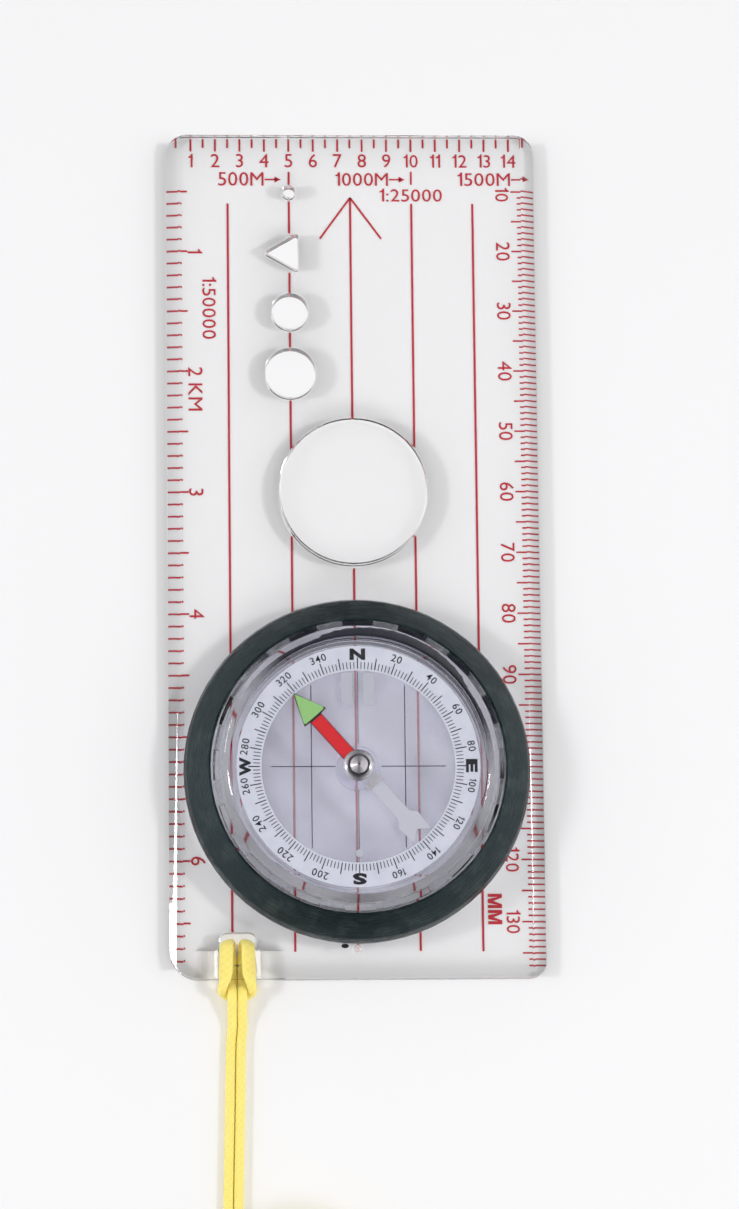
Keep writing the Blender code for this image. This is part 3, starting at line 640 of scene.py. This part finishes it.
def make_knot(look):
    """The knot that joins both strands in the coil's middle."""
    work = bmesh.new()
    for turn in range(KNOT_TURNS):
        lift = (turn - 1) * KNOT_TURN_SPACING
        ring = []
        for step in range(KNOT_STEPS + 1):
            angle = 2.0 * math.pi * step / KNOT_STEPS
            ring.append(Vector((lift + KNOT_SLANT * math.sin(angle), KNOT_TURN_RADII[0] * math.cos(angle),
                                KNOT_TURN_RADII[1] * math.sin(angle))))
        frames = frames_along(ring)
        rows = []
        for index, point in enumerate(ring[:-1]):
            along, across, up = frames[index]
            row = []
            for step in range(KNOT_CORD_STEPS):
                angle = 2.0 * math.pi * step / KNOT_CORD_STEPS
                spot = across * math.cos(angle) * KNOT_CORD_HALF[0] + up * math.sin(angle) * KNOT_CORD_HALF[1]
                row.append(work.verts.new((spot + (point + Vector(KNOT_CENTRE))) * MM))
            rows.append(row)
        for index, row in enumerate(rows):
            join_rings(work, row, rows[(index + 1) % len(rows)])
    core = bmesh.ops.create_uvsphere(work, u_segments=20, v_segments=12, radius=MM)["verts"]
    bmesh.ops.scale(work, vec=KNOT_CORE_HALF, verts=core)
    bmesh.ops.translate(work, vec=Vector(KNOT_CENTRE) * MM, verts=core)
    knot = new_piece("knot", finish_mesh(work, "knot"), look, PLATE, smooth=True)
    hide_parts("lanyard_knot")
    return knot


def make_lanyard():
    """The hitch over the bar, both strands with their coil, and the knot that joins them."""
    look = cord_material()
    make_hitch(look)
    knot = make_knot(look)
    strands = (
        ("strand_west", -1, WEST_END, ("lanyard_west", "lanyard_coil")),
        ("strand_east", 1, EAST_END, ("lanyard_east", "lanyard_coil")),
    )
    for name, side, end, solids in strands:
        spacing = 0.2
        route = smooth_route(strand_route(side, end), spacing)
        mesh = braided_tube(name, route, strand_section, 20, 0.07)
        strand = new_piece(name, mesh, look, PLATE, smooth=True)
        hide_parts(*solids)
        path = [tuple(point * MM) for point in smooth_route(strand_route(side, end), 1.0)]


# ---------------------------------------------------------------- print on the plate
def on_plate(across, down):
    """Plate place from millimetres across and down the scales."""
    return SCALE_WEST_X + across, SCALE_ZERO_Y - down


def open_spans(start, end, holes):
    """What is left of a line once each hole's span is taken out."""
    spans = []
    for low, high in sorted(holes):
        if low > start:
            spans.append((start, low))
        start = max(start, high)
    spans.append((start, end))
    return spans


def make_plate_print():
    """The red scales, lines, arrow and lettering on the plate's underside."""
    work = bmesh.new()

    def line(start, end, width=LINE_WIDTH):
        stroke(work, on_plate(*start), on_plate(*end), width, INK_LOW, INK_HIGH)

    def label(text, across, down, height, width=None, turn=0.0):
        write(work, text, on_plate(across, down), height, width, turn)

    # Along the north edge: a hundred metres to a number at 1:25000, and distances with arrows
    top = SCALE_ZERO_Y - PLATE_TOP_Y + 0.25
    for half in range(1, 30):
        line((half * 2.0, top), (half * 2.0, top + (2.1 if half % 2 == 0 else 1.5)), TICK_WIDTH)
    for number in range(1, 15):
        label(str(number), number * 4.0, 4.78, 2.25)
    for text, middle, width, arrow_end in DISTANCES:
        label(text, middle, 7.85, 2.3, width)
        line((middle + width / 2.0 + 0.2, ARROW_DOWN), (arrow_end - 0.6, ARROW_DOWN), FINE_WIDTH)
        tip, base = on_plate(arrow_end, ARROW_DOWN), on_plate(arrow_end - 1.0, ARROW_DOWN)
        slab(work, [(base[0], base[1] - 0.5), tip, (base[0], base[1] + 0.5)], INK_LOW, INK_HIGH)
    label("1:25000", 39.95, 10.55, 2.2, 10.2)
    # Down the west edge: kilometres at 1:50000
    label("1:50000", 6.95, 29.5, 2.3, 10.3, SIDEWAYS)
    label("2 KM", 4.62, 42.95, 2.3, 7.2, SIDEWAYS)
    for number in (1, 3, 4, 5, 6):
        label(str(number), 4.65, number * 20.0, 2.35, None, SIDEWAYS)
    # Down the east edge: millimetres, with 110 hidden under the bezel
    for number in range(10, 140, 10):
        if number != 110:
            label(str(number), 54.9, number + (0.45 if number == 10 else 0.0), 2.25, None, SIDEWAYS)
    for down in (126.65, 129.25):
        letter_m(work, on_plate(51.95, down), 2.25, 2.3, 0.5, SIDEWAYS)
    for millimetre in range(10, 138):
        line((56.3 if millimetre % 5 == 0 else 57.3, millimetre), (59.7, millimetre), FINE_WIDTH)
    # The west edge's ticks, a hundred metres apart at 1:50000
    for step in range(5, 69):
        line((0.3, step * 2.0), (3.4 if step % 5 == 0 else 2.5, step * 2.0), TICK_WIDTH)
    # Lines along the plate, broken at the openings and the lens, and the arrowhead
    line((10.0, 12.0), (10.0, 131.6))
    line((50.0, 12.0), (50.0, 134.7))
    line((40.0, 6.6), (40.0, 8.8), 0.28)
    for across, start, holes in BROKEN_LINES:
        for low, high in open_spans(start, LINES_END, holes):
            line((across, low), (across, high))
    for barb in (25.0, 35.0):
        line((30.0, 11.0), (barb, 17.9), TICK_WIDTH)
    red = ink("ink_red", (0.52, 0.028, 0.045))
    new_piece("plate_print", finish_mesh(work, "plate_print"), red, PLATE)


def make_index_dot():
    """The small black dot on the plate's top at the bezel's south edge."""
    work = bmesh.new()
    turns = [2.0 * math.pi * step / DOT_STEPS for step in range(DOT_STEPS)]
    outline = [(DOT_CENTRE[0] + DOT_RADII[0] * math.cos(turn), DOT_CENTRE[1] + DOT_RADII[1] * math.sin(turn))
               for turn in turns]
    slab(work, outline, *DOT_HEIGHTS)
    new_piece("index_dot", finish_mesh(work, "index_dot"), ink("ink_dot", INK_BLACK), PLATE)


# ---------------------------------------------------------------- print on the dial
def on_dial(azimuth, out):
    """Dial place from a bearing, clockwise from north, and a distance from the middle."""
    turn = math.radians(azimuth)
    return DIAL_CENTRE.x + out * math.sin(turn), DIAL_CENTRE.y + out * math.cos(turn)


def make_dial_print():
    """The degree ring's ticks, numbers and letters."""
    work = bmesh.new()
    low, high = RING_TOP - DIAL_INK_SUNK, RING_TOP + DIAL_INK_RAISED
    for degree in range(0, 360, 2):
        reach, width = TEN_DEGREE_TICK if degree % 10 == 0 else TWO_DEGREE_TICK
        stroke(work, on_dial(degree, TICKS_START), on_dial(degree, reach), width, low, high)
    for degree in range(20, 360, 20):
        if degree != 180:
            write(work, str(degree), on_dial(degree, NUMBERS_OUT), 1.2, None, -degree, 0.012, low, high, 0.16)
    for degree, letter, width in ((0, "N", 2.5), (90, "E", 2.15), (180, "S", 2.25), (270, "W", 3.0)):
        write(work, letter, on_dial(degree, LETTERS_OUT), 1.85, width, -degree, 0.075, low, high)
    black = ink("ink_black", INK_BLACK)
    new_piece("dial_print", finish_mesh(work, "dial_print"), black, DIAL)


def make_disc_lines():
    """The fine lines on the dial's clear disc: two meridians and a cross."""
    work = bmesh.new()
    low, high = DISC_TOP - DIAL_INK_SUNK, DISC_TOP + DIAL_INK_RAISED
    middle = DIAL_CENTRE.xy
    for side in (-1, 1):
        for start, end, width in DISC_LINES:
            start, end = Vector((side * start[0], start[1])), Vector((side * end[0], end[1]))
            stroke(work, middle + start, middle + end, width, low, high)
        stroke(work, middle + Vector((0.0, side * 3.7)), middle + Vector((0.0, side * 15.2)), 0.09, low, high)
    grey = ink("ink_slate", (0.045, 0.05, 0.07))
    new_piece("disc_lines", finish_mesh(work, "disc_lines"), grey, DIAL)


# ---------------------------------------------------------------- refined CAD pieces
def face_kind(face):
    """Level, upright or sloping: shading never runs on from one kind to another."""
    steep = abs(face.normal.z)
    if steep > LEVEL_FROM:
        return "level"
    return "upright" if steep < UPRIGHT_TO else "sloping"


def refine(node, name, body, material, sharp=SHARP_ANGLE):
    """The same solid as a CAD node, welded and smoothly shaded, standing in its place."""
    work = bmesh.new()
    work.from_mesh(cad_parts[node].data)
    bmesh.ops.remove_doubles(work, verts=work.verts, dist=WELD_DISTANCE)
    bmesh.ops.dissolve_limit(work, angle_limit=math.radians(FLAT_ANGLE), verts=work.verts, edges=work.edges)
    limit = math.radians(sharp)
    work.normal_update()
    for edge in work.edges:
        kinds = {face_kind(face) for face in edge.link_faces}
        edge.smooth = len(edge.link_faces) == 2 and len(kinds) == 1 and edge.calc_face_angle(math.pi) < limit
    for face in work.faces:
        face.smooth = True
    mesh = bpy.data.meshes.new(name)
    work.to_mesh(mesh)
    work.free()
    piece = new_piece(name, mesh, material, body)
    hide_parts(node)


def bezel_material():
    """Dark moulded plastic with a fine turned grain and rubbed patches."""
    shade = Shade("bezel_plastic", (0.02, 0.03, 0.032), 0.4)
    where = shade.place()
    level, out, _ = shade.about_dial(where)
    around = shade.vector("SCALE", shade.vector("NORMALIZE", level), 3.0)
    parts = shade.node("SeparateXYZ", {0: around}).outputs
    outward = shade.math("MULTIPLY", out, 9.0)
    line = shade.node("CombineXYZ", {0: parts[0], 1: parts[1], 2: outward}).outputs[0]
    grain = shade.noise(line, 1.6, 5.0, 0.7)
    worn = shade.noise(where, 0.35, 4.0, 0.6)
    tone = shade.mix(shade.span(grain, 0.35, 0.7, 0.0, 1.0), (0.0015, 0.005, 0.006), (0.006, 0.012, 0.013))
    tone = shade.mix(shade.span(worn, 0.48, 0.72, 0.0, 0.6), tone, (0.036, 0.045, 0.046))
    shade.put(shade.shader, {"Base Color": tone, "Roughness": shade.span(grain, 0.3, 0.7, 0.22, 0.34),
                             "Anisotropic": 0.75, "Specular IOR Level": 0.42,
                             "Specular Tint": (0.70, 0.93, 1.0, 1.0),
                             "Tangent": shade.node("Tangent", direction_type="RADIAL", axis="Z").outputs[0]})
    shade.bump(shade.math("MULTIPLY_ADD", worn, 0.2, grain), 0.00006, 0.8)
    return shade.material


def scale_material():
    """The printed ring: pale lavender white with a faint cover grain."""
    shade = Shade("scale_white", (0.72, 0.74, 0.82), 0.35)
    where = shade.place()
    cover = shade.span(shade.noise(where, 0.5, 3.0), 0.3, 0.7, 0.0, 1.0)
    tone = shade.mix(cover, (0.69, 0.71, 0.80), (0.76, 0.78, 0.85))
    shade.put(shade.shader, {"Base Color": tone, "Coat Weight": 0.3, "Coat Roughness": 0.05})
    shade.bump(shade.noise(where, 12.0, 2.0), 0.000006, 0.4)
    shade.thin_shadow((0.75, 0.75, 0.78))
    return shade.material


def needle_material():
    """Red paint on the north arm, white on the south arm, bare steel along the edges."""
    shade = Shade("needle_paint", (0.75, 0.03, 0.04), 0.35)
    where = shade.place()
    centred = shade.vector("SUBTRACT", where, tuple(DIAL_CENTRE))
    turn = math.radians(NEEDLE_BEARING)
    ahead = (-math.sin(turn), math.cos(turn), 0.0)
    beside = (math.cos(turn), math.sin(turn), 0.0)
    along = shade.vector("DOT_PRODUCT", centred, ahead)
    across = shade.vector("DOT_PRODUCT", centred, beside)
    wobble = shade.math("MULTIPLY_ADD", shade.noise(where, 3.0, 3.0), 0.16, -0.08)
    edge = shade.math("ADD", shade.math("ABSOLUTE", across), wobble)
    north = shade.span(along, -0.05, 0.05, 0.0, 1.0)
    grain = shade.noise(where, 6.0, 4.0, 0.65)
    cover = shade.span(grain, 0.3, 0.7, 0.0, 1.0)
    red = shade.mix(cover, (0.66, 0.018, 0.025), (0.80, 0.035, 0.04))
    white = shade.mix(cover, (0.54, 0.55, 0.61), (0.66, 0.67, 0.73))
    paint = shade.mix(north, white, red)
    before_tip = shade.span(along, 9.9, 10.0, 1.0, 0.0)
    bare = shade.math("MULTIPLY", shade.span(edge, 1.0, 1.08, 0.0, 1.0), before_tip)
    tip = shade.span(along, 10.0, 10.1, 0.0, 1.0)
    bare = shade.math("MULTIPLY", shade.math("MAXIMUM", bare, tip), shade.span(along, 0.0, 0.1, 0.0, 1.0))
    tone = shade.mix(bare, paint, (0.12, 0.11, 0.12))
    shade.put(shade.shader, {"Base Color": tone, "Metallic": shade.math("MULTIPLY", bare, 0.9),
                             "Coat Weight": 0.25, "Coat Roughness": 0.12})
    shade.bump(grain, 0.000012, 0.4)
    return shade.material


def glow_material(name, low, high):
    """Luminous paint: matt, grainy and a little uneven."""
    shade = Shade(name, high, 0.7)
    grain = shade.noise(shade.place(), 7.0, 5.0, 0.7)
    shade.put(shade.shader, {"Base Color": shade.mix(shade.span(grain, 0.35, 0.68, 0.0, 1.0), low, high),
                             "Sheen Weight": 0.2})
    shade.bump(grain, 0.00002, 0.6)
    return shade.material


def metal_material(name, colour, roughness, centre=None):
    """Plated metal with hairlines, turned about a centre if it has one, and a few rub marks."""
    shade = Shade(name, colour, roughness[0], 1.0)
    where = shade.place()
    if centre:
        out = shade.vector("LENGTH", shade.vector("SUBTRACT", where, centre))
        line = shade.node("CombineXYZ", {2: shade.math("MULTIPLY", out, 14.0)}).outputs[0]
    else:
        line = shade.node("Mapping", {"Vector": where, "Scale": (1.0, 14.0, 14.0)}).outputs[0]
    grain = shade.noise(line, 2.0, 4.0, 0.6)
    patch = shade.noise(where, 2.2, 3.0)
    dark = tuple(0.72 * part for part in colour)
    shade.put(shade.shader, {"Base Color": shade.mix(shade.span(patch, 0.4, 0.7, 0.0, 0.5), colour, dark),
                             "Roughness": shade.span(grain, 0.3, 0.7, *roughness)})
    shade.bump(grain, 0.00001, 0.3)
    return shade.material


def cup_material():
    """Clear plastic with hazy tabs round the rim and, to the north, painted shade on the ledge and outer wall
    that stands in for the dark bezel bore seen through them.
    """
    shade = Shade("capsule_cup", CAPSULE_TINT, 0.02)
    where = shade.place()
    level, out, height = shade.about_dial(where)
    # Painted shade: to the north, the cup's foot ledge and its wall inside the bezel turn dark and opaque,
    # standing in for the bezel's bore seen through the plastic
    ahead = shade.vector("DOT_PRODUCT", level, CUP_PAINTED_SHADE_TOWARDS)
    foot = shade.math("LESS_THAN", height, CUP_FOOT_TOP)
    beyond = shade.math("GREATER_THAN", out, CUP_LEDGE_RADIUS)
    north = shade.span(ahead, 5.0, 13.0, 0.0, 1.0)
    ledge = shade.math("MULTIPLY", beyond, foot)
    seated = shade.math("LESS_THAN", height, BEZEL_TOP)
    wall = shade.math("MULTIPLY", shade.math("GREATER_THAN", out, CUP_WALL_RADIUS), seated)
    painted_shade_mask = shade.math("MULTIPLY", shade.math("MAXIMUM", ledge, wall), north)
    tabs = shade.math("MULTIPLY", shade.math("GREATER_THAN", out, CUP_TAB_RADIUS),
                      shade.math("GREATER_THAN", height, CUP_NOTCH_FLOOR))
    grain = shade.noise(where, 1.2, 4.0, 0.6)
    # The painted shade's near-black colour
    dark = shade.mix(grain, (0.008, 0.010, 0.018), (0.04, 0.043, 0.06))
    body = shade.mix(tabs, CAPSULE_TINT, (0.50, 0.51, 0.56))
    haze = shade.math("MULTIPLY", tabs, shade.span(grain, 0.35, 0.65, 0.16, 0.34))
    solid = shade.math("ADD", painted_shade_mask, haze)
    smudge = shade.span(grain, 0.45, 0.75, 0.0, 0.06)
    shade.put(shade.shader, {"IOR": ACRYLIC_IOR, "Transmission Weight": shade.math("SUBTRACT", 1.0, solid),
                             "Base Color": shade.mix(painted_shade_mask, body, dark),
                             "Roughness": shade.math("MULTIPLY_ADD", solid, 0.3, smudge)})
    shade.bump(grain, 0.000008, 0.35)
    shade.thin_shadow(CAPSULE_SHADOW)
    return shade.material


def rubber_material():
    """The grey rubber plug of the filling hole."""
    shade = Shade("plug_rubber", (0.25, 0.26, 0.28), 0.6)
    grain = shade.noise(shade.place(), 8.0, 4.0, 0.7)
    shade.put(shade.shader, {"Base Color": shade.mix(grain, (0.2, 0.21, 0.24), (0.34, 0.35, 0.38))})
    shade.bump(grain, 0.00002, 0.5)
    return shade.material


def make_plate():
    """The plate with its lens, retaining ring and pip."""
    acrylic = clear_plastic("clear_acrylic", PURE, 0.12, (0.0, 0.02), PURE, wall=0.1, rim=0.2)
    optical = clear_plastic("lens_acrylic", PURE, 0.1, (0.0, 0.01), PURE, wall=0.8)
    clear = clear_plastic("clear_ring", CAPSULE_TINT, 0.15, (0.0, 0.06), CAPSULE_SHADOW)
    hazy = clear_plastic("pip_acrylic", (0.9, 0.9, 0.92), 2.0, (0.2, 0.4), (0.9, 0.9, 0.9), transmission=0.55)
    refine("baseplate", "plate_body", PLATE, acrylic)
    refine("magnifier_lens", "lens_body", PLATE, optical, LENS_SHARP_ANGLE)
    refine("snap_ring", "ring_body", PLATE, clear)
    refine("reading_pip", "pip_body", PLATE, hazy)


def make_housing():
    """The bezel with the capsule, dial and pivot that turn with it."""
    cover = clear_plastic("capsule_cover", (0.97, 0.97, 0.985), 0.1, (0.0, 0.03), (0.97, 0.97, 0.98))
    disc = clear_plastic("disc_clear", (0.94, 0.945, 1.0), 0.2, (0.0, 0.05), (0.97, 0.972, 0.985),
                         cloud=(0.86, 0.865, 0.93), ior=DISC_IN_LIQUID_IOR, transmission=0.86)
    refine("bezel_ring", "bezel_body", DIAL, bezel_material())
    refine("capsule_cup", "cup_body", DIAL, cup_material())
    refine("capsule_cover", "cover_body", DIAL, cover)
    refine("filler_plug", "plug_body", DIAL, rubber_material())
    refine("dial_disc", "disc_body", DIAL, disc)
    refine("scale_ring", "scale_body", DIAL, scale_material())
    pale = glow_material("glow_pale", (0.47, 0.49, 0.55), (0.57, 0.59, 0.63))
    for node in ("glow_bar_west", "glow_bar_east", "glow_dot"):
        refine(node, node + "_paint", DIAL, pale)
    refine("pivot_boss", "boss_body", DIAL, disc)


def make_needle():
    """The needle with its tip, hub, clip and jewel, and the pin under it."""
    steel = metal_material("bright_steel", (0.62, 0.60, 0.62), (0.14, 0.28), HUB_CENTRE)
    refine("pivot_pin", "pin_body", DIAL, steel)
    refine("needle_blade", "blade_body", NEEDLE, needle_material())
    green = glow_material("glow_green", (0.24, 0.52, 0.16), (0.40, 0.70, 0.26))
    refine("glow_tip", "tip_paint", NEEDLE, green)
    for node in ("needle_hub", "hub_collar", "hub_cap"):
        refine(node, node + "_body", NEEDLE, steel, TURNED_SHARP_ANGLE)
    clip = metal_material("clip_metal", (0.72, 0.70, 0.74), (0.45, 0.6))
    refine("balance_clip", "clip_body", NEEDLE, clip)
    jewel = clear_plastic("jewel_red", (0.6, 0.05, 0.12), 1.5, (0.02, 0.06), ior=JEWEL_IOR)
    refine("jewel_bearing", "jewel_body", NEEDLE, jewel, TURNED_SHARP_ANGLE)


# ---------------------------------------------------------------- stage
def make_world():
    """A studio that is dim overhead and due south, and brightest in the west and east."""
    world = bpy.data.worlds.new("studio")
    world.use_nodes = True
    tree = world.node_tree

    def node(kind, *sources, **settings):
        """Add a node with its settings, fed by outputs in the order of its inputs."""
        item = tree.nodes.new("ShaderNode" + kind)
        for key, value in settings.items():
            setattr(item, key, value)
        for index, source in enumerate(sources):
            tree.links.new(source, item.inputs[index])
        return item

    def ramp(source, numbers, **settings):
        """Move a value from one range to another, clamped."""
        item = node("MapRange", source, **settings)
        for index, number in enumerate(numbers, 1):
            item.inputs[index].default_value = number
        return item.outputs[0]

    parts = node("SeparateXYZ", node("TexCoord").outputs["Generated"]).outputs
    sideways = node("Math", parts[0], operation="ABSOLUTE").outputs[0]
    upwards = ramp(parts[2], SKY_UPWARDS, interpolation_type="SMOOTHSTEP")
    both = node("Math", upwards, ramp(sideways, SKY_SIDEWAYS), operation="MULTIPLY").outputs[0]
    whole = node("Math", both, ramp(parts[1], SKY_SOUTH), operation="MULTIPLY").outputs[0]
    background = tree.nodes["Background"]
    background.inputs["Color"].default_value = SKY_COLOUR
    tree.links.new(whole, background.inputs["Strength"])
    bpy.context.scene.world = world


def make_stage():
    """A pale floor under soft light from both sides, the front and above."""
    work = bmesh.new()
    bmesh.ops.create_grid(work, x_segments=1, y_segments=1, size=FLOOR_HALF_WIDTH)
    mesh = bpy.data.meshes.new("floor")
    work.to_mesh(mesh)
    work.free()
    floor = bpy.data.objects.new("floor", mesh)
    bpy.context.collection.objects.link(floor)
    floor.location = (0.0, 0.0, FLOOR_Z)
    mesh.materials.append(Shade("floor", (0.93, 0.925, 0.935), 0.9).material)
    make_world()
    for light in LIGHTS:
        add_light(*light)
    scene = bpy.context.scene
    scene.view_settings.view_transform = "Standard"
    scene.cycles.max_bounces = LIGHT_BOUNCES
    scene.cycles.transmission_bounces = LIGHT_BOUNCES
    scene.cycles.transparent_max_bounces = LIGHT_BOUNCES


make_camera()
make_lanyard()
make_plate()
make_housing()
make_needle()
make_index_dot()
make_plate_print()
make_dial_print()
make_disc_lines()
make_stage()
bpy.context.view_layer.update()
